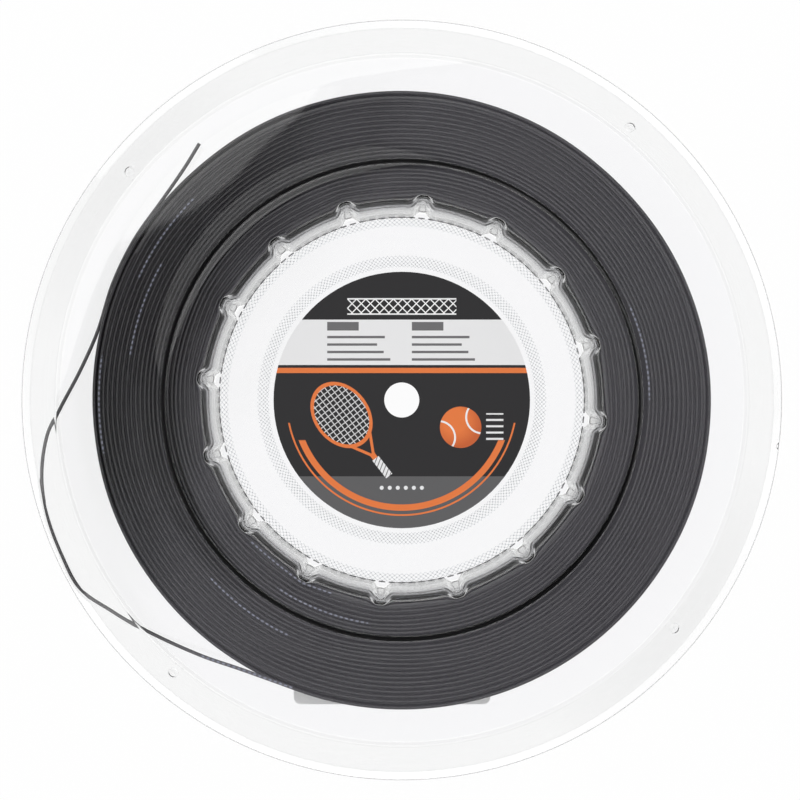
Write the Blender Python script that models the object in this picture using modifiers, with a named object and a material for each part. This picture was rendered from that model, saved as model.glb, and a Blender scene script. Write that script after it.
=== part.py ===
"""String reel for racket string.

Two clear vacuum-formed half shells stand back to back and are joined at their hub webs.
Between their flanges lies a winding of string, whose last turn has sprung loose.
Lengths are in metres. The hub axis is Z, the labelled face looks along +Z, and the origin is on
the hub axis, half-way through the reel.
"""

import math

import bmesh
import bpy
from mathutils import Quaternion, Vector
from mathutils.geometry import interpolate_bezier

# Driving dimensions -------------------------------------------------------------------------

STRING_DIAMETER = 0.00125
SHEET_THICKNESS = 0.0008
TOUCH_GAP = 0.0003              # clearance between pieces that touch on the real reel

SPINDLE_HOLE_RADIUS = 0.0061
LABEL_RADIUS = 0.0447
LABEL_THICKNESS = 0.0002
WEB_BORDER = 0.0195             # clear web between the label and the foot of the hub wall

HUB_WALL_LEAN = 0.0034          # how far the drafted hub wall leans out over its height
HUB_FILLET_WIDTH = 0.0019       # radial width of the turn from hub wall to flange
HUB_FILLET_DROP = 0.0015        # height of that turn
RIB_COUNT = 16
RIB_HEIGHT = 0.0022
RIB_WIDTH = 0.0108
FIRST_RIB_ANGLE = math.radians(16.3)

HUB_BAND_WIDTH = 0.0102         # raised flat band of the flange, next to the hub
STEP_WIDTH = 0.0018
STEP_HEIGHT = 0.0008

WINDING_WIDTH = 0.0190
WINDING_DEPTH = 0.0366          # from the winding's bore at the flange to its outermost turn
TURN_GAP = 0.00045              # clear gap between neighbouring turns of the outer layer
FACE_RIDGE_PITCH = 0.00284      # two turns of string, side by side against a flange
LOOSE_END_ANGLE = math.radians(250.0)   # where the last turn leaves the winding
STRAIGHT_START = 0.0050         # the loose end's first stretch, straight on from the winding

FLANGE_MARGIN = 0.0126          # flat flange outside the winding
RIM_SLOPE_WIDTH = 0.0090
LIP_WIDTH = 0.0033
LIP_ROOT_HALF_GAP = 0.0016
LIP_MOUTH_HALF_GAP = 0.0004

STICKER_WIDTH = 0.0690
STICKER_HEIGHT = 0.0200
STICKER_THICKNESS = 0.0002
STICKER_CORNER_RADIUS = 0.0025
STICKER_OFFSET_X = -0.0034
STICKER_INSET = 0.0031          # from the flange's step to the sticker's near edge

# Mesh fineness
SEGMENTS_PER_RIB = 8
RING_SEGMENTS = 96
CORE_SEGMENTS = 48
POINTS_PER_LOOP = 24
CORNER_SEGMENTS = 4
LOOSE_POINT_SPACING = 0.0032
ROUTE_SPAN_POINTS = 20          # fine points on each span of the route, before even spacing
SHARP_ANGLE = math.radians(35.0)
MERGE_DISTANCE = 0.00001

# Worked-out sizes ---------------------------------------------------------------------------

STRING_RADIUS = STRING_DIAMETER / 2
RIB_PITCH = 2 * math.pi / RIB_COUNT

# Heights of the shell's string side above the middle plane
WEB_HEIGHT = TOUCH_GAP / 2
FLANGE_HEIGHT = WINDING_WIDTH / 2 + TOUCH_GAP
BAND_HEIGHT = FLANGE_HEIGHT + STEP_HEIGHT
WALL_TOP_HEIGHT = BAND_HEIGHT - HUB_FILLET_DROP

# Radii of the shell's string side
WEB_RADIUS = LABEL_RADIUS + WEB_BORDER
WALL_TOP_RADIUS = WEB_RADIUS + HUB_WALL_LEAN
BAND_START_RADIUS = WALL_TOP_RADIUS + HUB_FILLET_WIDTH
BAND_END_RADIUS = BAND_START_RADIUS + RIB_HEIGHT + HUB_BAND_WIDTH
STEP_END_RADIUS = BAND_END_RADIUS + STEP_WIDTH

# The winding sits on the tops of the ribs, with a straight bore
WALL_TILT = math.atan2(HUB_WALL_LEAN, WALL_TOP_HEIGHT - WEB_HEIGHT)
FILLET_TILT = math.atan2(HUB_FILLET_WIDTH, HUB_FILLET_DROP)
ABOVE_WALL = WINDING_WIDTH / 2 - WALL_TOP_HEIGHT
BORE_RADIUS = (WALL_TOP_RADIUS + RIB_HEIGHT + TOUCH_GAP / math.cos(FILLET_TILT)
               + max(ABOVE_WALL * math.tan(WALL_TILT), ABOVE_WALL * math.tan(FILLET_TILT)))
WINDING_RADIUS = BORE_RADIUS + WINDING_DEPTH
TURN_RADIUS = WINDING_RADIUS - STRING_RADIUS
CORE_RADIUS = TURN_RADIUS * math.cos(math.pi / POINTS_PER_LOOP) - STRING_RADIUS - TOUCH_GAP

BEND_RADIUS = WINDING_RADIUS + FLANGE_MARGIN
LIP_ROOT_RADIUS = BEND_RADIUS + RIM_SLOPE_WIDTH
RIM_RADIUS = LIP_ROOT_RADIUS + LIP_WIDTH

# The outer layer fills the width, with its last turn next to the front flange
TURN_PITCH = STRING_DIAMETER + TURN_GAP
CLIMB_PER_POINT = TURN_PITCH / POINTS_PER_LOOP
LAYER_STEPS = math.floor((WINDING_WIDTH - STRING_DIAMETER) / CLIMB_PER_POINT)
LAST_TURN_HEIGHT = LAYER_STEPS * CLIMB_PER_POINT / 2

# Route of the loose last turn, from the winding to its cut end. It springs out to the rim,
# follows the lips, comes back to lie on the winding and ends clear of it.
LOOSE_ROUTE = [
    (-0.0558, -0.0934, 0.0087),
    (-0.0700, -0.0886, 0.0071),
    (-0.0882, -0.0806, 0.0036),
    (-0.1010, -0.0733, 0.0014),
    (-0.1122, -0.0655, 0.0003),
    (-0.1182, -0.0546, 0.0000),
    (-0.1233, -0.0408, 0.0000),
    (-0.1253, -0.0270, 0.0000),
    (-0.1236, -0.0130, 0.0002),
    (-0.1191, -0.0030, 0.0005),
    (-0.1122, 0.0100, 0.0010),
    (-0.1060, 0.0238, 0.0016),
    (-0.1006, 0.0407, 0.0022),
    (-0.0931, 0.0559, 0.0028),
    (-0.0835, 0.0694, 0.0034),
    (-0.0757, 0.0806, 0.0038),
    (-0.0704, 0.0892, 0.0040),
]


# Scene helpers ------------------------------------------------------------------------------

def clear_scene():
    for item in list(bpy.data.objects):
        bpy.data.objects.remove(item, do_unlink=True)


def new_collection(name):
    collection = bpy.data.collections.new(name)
    bpy.context.scene.collection.children.link(collection)
    return collection


def new_material(name, colour, roughness, metallic=0.0, transmission=0.0):
    material = bpy.data.materials.new(name)
    material.use_nodes = True
    shader = material.node_tree.nodes["Principled BSDF"]
    shader.inputs["Base Color"].default_value = (*colour, 1.0)
    shader.inputs["Roughness"].default_value = roughness
    shader.inputs["Metallic"].default_value = metallic
    shader.inputs["Transmission Weight"].default_value = transmission
    material.diffuse_color = (*colour, 1.0 - 0.7 * transmission)
    return material


def add_object(name, data, collection, material):
    item = bpy.data.objects.new(name, data)
    collection.objects.link(item)
    data.materials.append(material)
    return item


def shade_round(mesh):
    mesh.shade_smooth()
    mesh.set_sharp_from_angle(angle=SHARP_ANGLE)


# Shapes -------------------------------------------------------------------------------------

def polar(radius, angle, height):
    return Vector((radius * math.cos(angle), radius * math.sin(angle), height))


def rib_rise(angle):
    """Share of the rib's height that stands at this angle round the hub: 1 on a rib's crest."""
    offset = (angle - FIRST_RIB_ANGLE + RIB_PITCH / 2) % RIB_PITCH - RIB_PITCH / 2
    half_width = RIB_WIDTH / 2 / WEB_RADIUS
    if abs(offset) >= half_width:
        return 0.0
    return math.cos(math.pi / 2 * offset / half_width) ** 2


def turned_sheet(profile, steps):
    """Open surface of revolution from a profile of (radius, height), faces looking down."""
    mesh = bmesh.new()
    points = [mesh.verts.new(polar(radius, FIRST_RIB_ANGLE, height)) for radius, height in profile]
    edges = [mesh.edges.new(pair) for pair in zip(points, points[1:])]
    bmesh.ops.spin(mesh, geom=points + edges, cent=(0, 0, 0), axis=(0, 0, 1),
                   angle=2 * math.pi, steps=steps, use_merge=True)
    bmesh.ops.recalc_face_normals(mesh, faces=mesh.faces)
    if sum(face.normal.z for face in mesh.faces) > 0:
        bmesh.ops.reverse_faces(mesh, faces=mesh.faces)
    return mesh


def raise_ribs(mesh):
    """Push the hub wall's vertices out where a rib stands."""
    for vertex in mesh.verts:
        radius = math.hypot(vertex.co.x, vertex.co.y)
        angle = math.atan2(vertex.co.y, vertex.co.x)
        on_wall = WEB_RADIUS - TOUCH_GAP < radius < BAND_START_RADIUS + TOUCH_GAP
        if on_wall:
            vertex.co = polar(radius + RIB_HEIGHT * rib_rise(angle), angle, vertex.co.z)


def half_shell_mesh():
    """String side of one half shell: web, ribbed hub wall, stepped flange, sloping rim and lip."""
    profile = [
        (SPINDLE_HOLE_RADIUS, WEB_HEIGHT),
        (WEB_RADIUS, WEB_HEIGHT),
        (WALL_TOP_RADIUS, WALL_TOP_HEIGHT),
        (BAND_START_RADIUS, BAND_HEIGHT),
        (BAND_END_RADIUS, BAND_HEIGHT),
        (STEP_END_RADIUS, FLANGE_HEIGHT),
        (BEND_RADIUS, FLANGE_HEIGHT),
        (LIP_ROOT_RADIUS, LIP_ROOT_HALF_GAP),
        (RIM_RADIUS, LIP_MOUTH_HALF_GAP),
    ]
    sheet = turned_sheet(profile, RIB_COUNT * SEGMENTS_PER_RIB)
    raise_ribs(sheet)
    mesh = bpy.data.meshes.new("half_shell")
    sheet.to_mesh(mesh)
    sheet.free()
    shade_round(mesh)
    return mesh


def thicken(item):
    """Give the sheet its wall, away from the string."""
    wall = item.modifiers.new("wall", "SOLIDIFY")
    wall.thickness = SHEET_THICKNESS
    wall.offset = -1.0
    wall.solidify_mode = "NON_MANIFOLD"
    wall.nonmanifold_thickness_mode = "CONSTRAINTS"
    wall.nonmanifold_merge_threshold = MERGE_DISTANCE


def build_shells(collection):
    """Front shell, and the same forming turned over about a line midway between two ribs."""
    clear = new_material("clear_sheet", (0.93, 0.95, 0.96), 0.08, transmission=1.0)
    mesh = half_shell_mesh()
    front = add_object("front_shell", mesh, collection, clear)
    thicken(front)

    rear = bpy.data.objects.new("rear_shell", mesh)
    collection.objects.link(rear)
    turn_angle = FIRST_RIB_ANGLE + 1.5 * RIB_PITCH
    rear.rotation_mode = "QUATERNION"
    rear.rotation_quaternion = Quaternion(polar(1.0, turn_angle, 0.0), math.pi)
    thicken(rear)


def add_turned_solid(name, profile, segments, collection, material):
    """Closed profile of (radius, height), running down its outer side first, turned about Z."""
    outline = bpy.data.meshes.new(name + "_outline")
    points = [(radius, 0.0, height) for radius, height in profile]
    edges = [(index, (index + 1) % len(points)) for index in range(len(points))]
    outline.from_pydata(points, edges, [])
    item = add_object(name, outline, collection, material)
    screw = item.modifiers.new("turn", "SCREW")
    screw.axis = "Z"
    screw.steps = segments
    screw.render_steps = segments
    screw.use_merge_vertices = True
    screw.merge_threshold = MERGE_DISTANCE
    turned = item.evaluated_get(bpy.context.evaluated_depsgraph_get())
    item.data = bpy.data.meshes.new_from_object(turned)
    item.modifiers.clear()
    shade_round(item.data)


def build_label(collection):
    paper = new_material("label_print", (0.045, 0.045, 0.048), 0.35)
    bottom = WEB_HEIGHT + SHEET_THICKNESS + TOUCH_GAP
    top = bottom + LABEL_THICKNESS
    profile = [
        (LABEL_RADIUS, top),
        (LABEL_RADIUS, bottom),
        (SPINDLE_HOLE_RADIUS, bottom),
        (SPINDLE_HOLE_RADIUS, top),
    ]
    add_turned_solid("front_label", profile, RING_SEGMENTS, collection, paper)


def build_sticker(collection):
    """Round-cornered sticker on the outside of the rear flange, just outside its step."""
    paper = new_material("sticker_paper", (0.62, 0.61, 0.60), 0.55)
    top = -(FLANGE_HEIGHT + SHEET_THICKNESS + TOUCH_GAP)
    centre = Vector((
        STICKER_OFFSET_X,
        -(STEP_END_RADIUS + STICKER_INSET + STICKER_HEIGHT / 2),
        top - STICKER_THICKNESS / 2,
    ))
    sticker = bmesh.new()
    bmesh.ops.create_cube(sticker, size=1.0)
    bmesh.ops.scale(sticker, vec=(STICKER_WIDTH, STICKER_HEIGHT, STICKER_THICKNESS),
                    verts=sticker.verts)
    upright = [edge for edge in sticker.edges
               if abs(edge.verts[0].co.z - edge.verts[1].co.z) > STICKER_THICKNESS / 2]
    bmesh.ops.bevel(sticker, geom=upright, offset=STICKER_CORNER_RADIUS, offset_type="OFFSET",
                    segments=CORNER_SEGMENTS, profile=0.5, affect="EDGES")
    mesh = bpy.data.meshes.new("rear_sticker")
    sticker.to_mesh(mesh)
    sticker.free()
    item = add_object("rear_sticker", mesh, collection, paper)
    item.location = centre


def face_ridges(inner_radius, outer_radius):
    """Section of the winding's face from bore to rim: a ridge for every two turns, a groove between."""
    steps = 2 * round((outer_radius - inner_radius) / FACE_RIDGE_PITCH)
    crest = WINDING_WIDTH / 2
    groove = crest - STRING_RADIUS
    return [(inner_radius + (outer_radius - inner_radius) * step / steps, crest if step % 2 else groove)
            for step in range(steps + 1)]


def build_core(collection, material):
    """Everything under the outer layer, as one ring that rests on the tops of the ribs.

    The flats of the bore, not its corners, keep the clearance to the ribs.
    """
    front_face = face_ridges(BORE_RADIUS / math.cos(math.pi / CORE_SEGMENTS), CORE_RADIUS)
    rear_face = [(radius, -height) for radius, height in reversed(front_face)]
    add_turned_solid("winding_core", rear_face + front_face, CORE_SEGMENTS, collection, material)


def add_tube(name, points, bevel_resolution, collection, material):
    """Round string along a polyline, with closed ends."""
    curve = bpy.data.curves.new(name, "CURVE")
    curve.dimensions = "3D"
    curve.bevel_depth = STRING_RADIUS
    curve.bevel_resolution = bevel_resolution
    curve.use_fill_caps = True
    spline = curve.splines.new("POLY")
    spline.points.add(len(points) - 1)
    for spline_point, point in zip(spline.points, points):
        spline_point.co = (*point, 1.0)
    return add_object(name, curve, collection, material)


def clockwise(angle):
    """Direction of travel of the string at this angle, as the reel is seen from the front."""
    return Vector((math.sin(angle), -math.cos(angle), 0.0))


def outer_layer_points():
    """Side-by-side turns from the rear flange to the front one, with straight ends."""
    angle_per_point = 2 * math.pi / POINTS_PER_LOOP
    start_angle = LOOSE_END_ANGLE + LAYER_STEPS * angle_per_point
    points = []
    for step in range(LAYER_STEPS + 1):
        angle = start_angle - step * angle_per_point
        points.append(polar(TURN_RADIUS, angle, step * CLIMB_PER_POINT - LAST_TURN_HEIGHT))
    points.insert(0, points[0] - clockwise(start_angle) * STRING_DIAMETER)
    points.append(points[-1] + clockwise(LOOSE_END_ANGLE) * STRING_DIAMETER)
    return points


def least_self_gap(points):
    """Least clear gap between neighbouring turns, measured from each point to their middle lines."""
    least = math.inf
    for index, point in enumerate(points):
        for other in range(index + POINTS_PER_LOOP // 2, len(points) - 1):
            start, end = points[other], points[other + 1]
            along = end - start
            share = max(0.0, min(1.0, (point - start).dot(along) / along.length_squared))
            least = min(least, (point - start - along * share).length)
    return least - STRING_DIAMETER


def smooth_route(route, spacing):
    """Evenly spaced points on a smooth curve through the route's points: at each point the curve
    runs parallel to the line between its neighbours, with handles a third of each span long."""
    padded = [2 * route[0] - route[1], *route, 2 * route[-1] - route[-2]]
    headings = [(after - before).normalized() for before, after in zip(padded, padded[2:])]
    fine = [route[0]]
    for start, end, leaving, arriving in zip(route, route[1:], headings, headings[1:]):
        handle = (end - start).length / 3
        span = interpolate_bezier(start, start + leaving * handle, end - arriving * handle, end,
                                  ROUTE_SPAN_POINTS)
        fine += span[1:]
    return even_points(fine, spacing)


def even_points(fine, spacing):
    """Walk along a fine polyline and keep a point at each equal share of its length."""
    lengths = [0.0]
    for first, second in zip(fine, fine[1:]):
        lengths.append(lengths[-1] + (second - first).length)
    count = round(lengths[-1] / spacing)
    points = []
    index = 0
    for step in range(count + 1):
        target = lengths[-1] * step / count
        while index < len(fine) - 2 and lengths[index + 1] < target:
            index += 1
        share = (target - lengths[index]) / (lengths[index + 1] - lengths[index])
        points.append(fine[index].lerp(fine[index + 1], share))
    return points


def build_string(collection):
    """The winding's core, its outer layer and the loose last turn that goes on from it."""
    core = new_material("wound_string", (0.035, 0.035, 0.038), 0.40)
    outer = new_material("outer_string", (0.045, 0.045, 0.048), 0.32)
    loose = new_material("loose_string", (0.050, 0.050, 0.053), 0.30)
    build_core(collection, core)

    layer = outer_layer_points()
    add_tube("winding_outer_layer", layer, 1, collection, outer)
    print(f"outer layer's least gap to itself: {least_self_gap(layer) * 1000:.3f} mm")

    leaving = clockwise(LOOSE_END_ANGLE)
    exit_point = layer[-1] + leaving * TOUCH_GAP
    route = [exit_point, exit_point + leaving * STRAIGHT_START]
    route += [Vector(point) for point in LOOSE_ROUTE]
    points = smooth_route(route, LOOSE_POINT_SPACING)
    add_tube("loose_string_end", points, 2, collection, loose)
    length = sum((second - first).length for first, second in zip(points, points[1:]))
    print(f"loose string end: {length * 1000:.1f} mm long, {len(points)} points")


def main():
    clear_scene()
    reel = new_collection("string_reel")
    build_shells(reel)
    build_label(reel)
    build_sticker(reel)
    build_string(reel)


main()
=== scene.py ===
"""String reel for racket string: its looks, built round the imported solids.

Two clear formed sheets stand back to back, joined at a knurled hub web. Between their flanges
lies a winding of black string, whose last turn has sprung loose. A printed disc sits in the front
recess and a paper sticker on the rear flange.

Lengths are in metres. The hub axis is Z and the labelled face looks along +Z.
"""

import logging
import math
from dataclasses import dataclass, field
from enum import Enum
from typing import Any

import bpy
import numpy as np
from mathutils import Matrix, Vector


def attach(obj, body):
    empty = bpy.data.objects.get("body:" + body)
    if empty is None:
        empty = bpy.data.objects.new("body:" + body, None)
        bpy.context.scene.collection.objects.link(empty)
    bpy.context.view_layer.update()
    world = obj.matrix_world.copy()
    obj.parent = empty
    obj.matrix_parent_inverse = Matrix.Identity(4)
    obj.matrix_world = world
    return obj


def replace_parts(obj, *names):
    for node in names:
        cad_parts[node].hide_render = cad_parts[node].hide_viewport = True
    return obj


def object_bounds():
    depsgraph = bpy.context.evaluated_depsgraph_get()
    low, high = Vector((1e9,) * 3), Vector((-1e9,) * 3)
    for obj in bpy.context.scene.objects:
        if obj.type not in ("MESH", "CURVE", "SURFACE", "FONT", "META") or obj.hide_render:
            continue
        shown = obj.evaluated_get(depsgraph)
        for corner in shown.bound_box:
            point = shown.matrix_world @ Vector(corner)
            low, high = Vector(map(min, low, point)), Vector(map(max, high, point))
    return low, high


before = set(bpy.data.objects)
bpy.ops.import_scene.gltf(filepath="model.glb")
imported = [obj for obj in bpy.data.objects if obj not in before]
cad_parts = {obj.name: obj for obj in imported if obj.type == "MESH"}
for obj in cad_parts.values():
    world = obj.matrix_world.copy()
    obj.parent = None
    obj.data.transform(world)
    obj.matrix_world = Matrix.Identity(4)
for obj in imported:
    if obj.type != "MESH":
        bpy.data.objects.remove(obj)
CAD_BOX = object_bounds()
BODY = "root"
LOG = logging.getLogger("string_reel")

Colour = tuple[float, float, float, float]
Point = tuple[float, float, float]
Pair = tuple[float, float]

# Millimetres in a metre, and the softness of a printed edge in millimetres.
MILLIMETRES = 1000.0
PRINT_EDGE = 0.10


class Slot(Enum):
    """Names of the material slots, which the builders are handed but do not use."""

    CLEAR_SHEET = "clear_sheet"
    LABEL_PRINT = "label_print"
    STICKER_PAPER = "sticker_paper"
    STRING = "string"


class Face(Enum):
    """The two faces of the reel, as the sign of their Z."""

    FRONT = 1
    REAR = -1


# Number helpers

def smooth_step(value: np.ndarray, start: float, end: float) -> np.ndarray:
    """Rise from 0 at start to 1 at end along 3t^2 - 2t^3.

    Args:
        value: The numbers to place between start and end.
        start: Where the rise begins.
        end: Where it is complete; it may lie below start, for a fall.

    Returns:
        The share reached, from 0 to 1.
    """
    share = np.clip((value - start) / (end - start), 0.0, 1.0)
    return share * share * (3.0 - 2.0 * share)


def unit(vectors: np.ndarray) -> np.ndarray:
    """Each vector divided by its length."""
    return vectors / np.linalg.norm(vectors, axis=-1, keepdims=True)


def wrapped(angle: np.ndarray) -> np.ndarray:
    """The angle brought into the half-open turn from -pi to pi."""
    return np.mod(angle + math.pi, 2 * math.pi) - math.pi


def around(radius: np.ndarray, angle: np.ndarray, height: np.ndarray) -> np.ndarray:
    """Points at a radius and angle about the hub axis: (r cos a, r sin a, z)."""
    parts = radius * np.cos(angle), radius * np.sin(angle), height
    return np.stack(np.broadcast_arrays(*parts), axis=-1)


# Meshes

def lattice(rows: int, columns: int, wrap_rows: bool, wrap_columns: bool) -> np.ndarray:
    """Quads that join neighbouring points of a grid.

    Args:
        rows: Number of grid rows.
        columns: Number of grid columns.
        wrap_rows: Whether the last row joins the first.
        wrap_columns: Whether the last column joins the first.

    Returns:
        An array of four point numbers for each quad.
    """
    index = np.arange(rows * columns).reshape(rows, columns)
    if wrap_rows:
        index = np.vstack([index, index[:1]])
    if wrap_columns:
        index = np.hstack([index, index[:, :1]])
    corners = [index[:-1, :-1], index[1:, :-1], index[1:, 1:], index[:-1, 1:]]
    return np.stack(corners, axis=-1).reshape(-1, 4)


@dataclass
class Surface:
    """A closed surface: points, quads, end polygons of one size, and a number per point for shaders."""

    points: np.ndarray
    quads: np.ndarray
    ends: np.ndarray = field(default_factory=lambda: np.zeros((0, 3), int))
    values: dict[str, np.ndarray] = field(default_factory=dict)

    def volume(self) -> float:
        """Signed volume, the sum of a . (b x c) / 6 over the fan of triangles of every face.

        Returns:
            The volume, which is below 0 where the faces point inwards.
        """
        total = 0.0
        for faces in (self.quads, self.ends):
            for step in range(1, faces.shape[1] - 1):
                a, b, c = (self.points[faces[:, i]] for i in (0, step, step + 1))
                total += float((a * np.cross(b, c)).sum()) / 6.0
        return total

    def build(
        self, name: str, material: bpy.types.Material, slot: Slot, sharp_degrees: float
    ) -> bpy.types.Object:
        """Make the object, with faces outwards, riding on the reel.

        Args:
            name: The piece's name.
            material: Its finish.
            slot: The slot of that finish; not used.
            sharp_degrees: Edges that turn more than this stay sharp.

        Returns:
            The new object.
        """
        turn = slice(None, None, -1) if self.volume() < 0 else slice(None)
        quads, ends = self.quads[:, turn], self.ends[:, turn]
        sizes = np.concatenate([np.full(len(quads), 4), np.full(len(ends), ends.shape[1])])
        corners = np.concatenate([quads.ravel(), ends.ravel()])
        mesh = bpy.data.meshes.new(name)
        mesh.vertices.add(len(self.points))
        mesh.vertices.foreach_set("co", self.points.astype(np.float32).ravel())
        mesh.loops.add(len(corners))
        mesh.loops.foreach_set("vertex_index", corners.astype(np.int32))
        mesh.polygons.add(len(sizes))
        mesh.polygons.foreach_set("loop_start", (np.cumsum(sizes) - sizes).astype(np.int32))
        mesh.update(calc_edges=True)
        for key, numbers in self.values.items():
            attribute = mesh.attributes.new(key, "FLOAT", "POINT")
            attribute.data.foreach_set("value", numbers.astype(np.float32).ravel())
        mesh.shade_smooth()
        mesh.set_sharp_from_angle(angle=math.radians(sharp_degrees))
        mesh.materials.append(material)
        piece = bpy.data.objects.new(name, mesh)
        bpy.context.scene.collection.objects.link(piece)
        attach(piece, BODY)
        LOG.info("%s: %d faces, on %s", name, len(sizes), BODY)
        return piece


def string_tube(path: np.ndarray, radius: float, sides: int, outward: np.ndarray) -> Surface:
    """Carry a circle along a path: p + r (cos a s + sin a u), with s = t x Z and u = s x t.

    Args:
        path: Points of the string's centre line, never running along Z.
        radius: The string's radius.
        sides: Number of sides of the circle.
        outward: Direction, or one for each point, in which the string shows.

    Returns:
        The tube with flat cut ends, and its "along" and "facing" numbers.
    """
    tangent = unit(np.gradient(path, axis=0))
    side = unit(np.cross(tangent, (0.0, 0.0, 1.0)))
    up = np.cross(side, tangent)
    turn = np.arange(sides) * (2 * math.pi / sides)
    normal = np.cos(turn)[:, None] * side[:, None] + np.sin(turn)[:, None] * up[:, None]
    points = path[:, None] + radius * normal
    steps = np.linalg.norm(np.diff(path, axis=0), axis=1)
    along = np.concatenate([[0.0], np.cumsum(steps)])
    facing = (normal * np.broadcast_to(outward, path.shape)[:, None]).sum(axis=-1)
    first = np.arange(sides)[::-1]
    last = np.arange(sides) + (len(path) - 1) * sides
    return Surface(
        points.reshape(-1, 3),
        lattice(len(path), sides, False, True),
        np.stack([first, last]),
        {"along": np.repeat(along, sides), "facing": facing.ravel()},
    )


# Shader graphs

class Value:
    """A node's output that takes part in Python sums, each of which adds a Math node."""

    def __init__(self, graph: "Graph", socket: bpy.types.NodeSocket) -> None:
        """Wrap an output socket of a graph."""
        self.graph = graph
        self.socket = socket

    def math(self, operation: str, *others: Any) -> "Value":
        """A Math node on this value and the others."""
        sockets = dict(enumerate((self, *others)))
        return self.graph.node("ShaderNodeMath", {"operation": operation}, sockets)

    def __add__(self, other: Any) -> "Value":
        """This value plus another."""
        return self.math("ADD", other)

    __radd__ = __add__

    def __mul__(self, other: Any) -> "Value":
        """This value times another."""
        return self.math("MULTIPLY", other)

    __rmul__ = __mul__

    def __sub__(self, other: Any) -> "Value":
        """This value less another."""
        return self.math("SUBTRACT", other)

    def __rsub__(self, other: float) -> "Value":
        """A number less this value."""
        return self * -1.0 + other

    def __truediv__(self, other: Any) -> "Value":
        """This value divided by another."""
        return self.math("DIVIDE", other)

    def __rtruediv__(self, other: float) -> "Value":
        """A number divided by this value."""
        return self.math("POWER", -1.0) * other

    def __mod__(self, period: float) -> "Value":
        """This value's remainder, never negative, in a period."""
        return self.math("FLOORED_MODULO", period)

    def __abs__(self) -> "Value":
        """This value without its sign."""
        return self.math("ABSOLUTE")

    def capped(self) -> "Value":
        """This value, or 1 where it is more."""
        return self.math("MINIMUM", 1.0)

    def rises(self, edge: float, softness: float = PRINT_EDGE) -> "Value":
        """A mask that goes from 0 to 1 round an edge, over the softness."""
        return ((self - edge) / softness + 0.5).capped().math("MAXIMUM", 0.0)

    def falls(self, edge: float, softness: float = PRINT_EDGE) -> "Value":
        """A mask that goes from 1 to 0 round an edge, over the softness."""
        return 1.0 - self.rises(edge, softness)

    def between(self, low: float, high: float, softness: float = PRINT_EDGE) -> "Value":
        """A mask that is 1 from low to high."""
        return self.rises(low, softness) * self.falls(high, softness)


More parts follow.
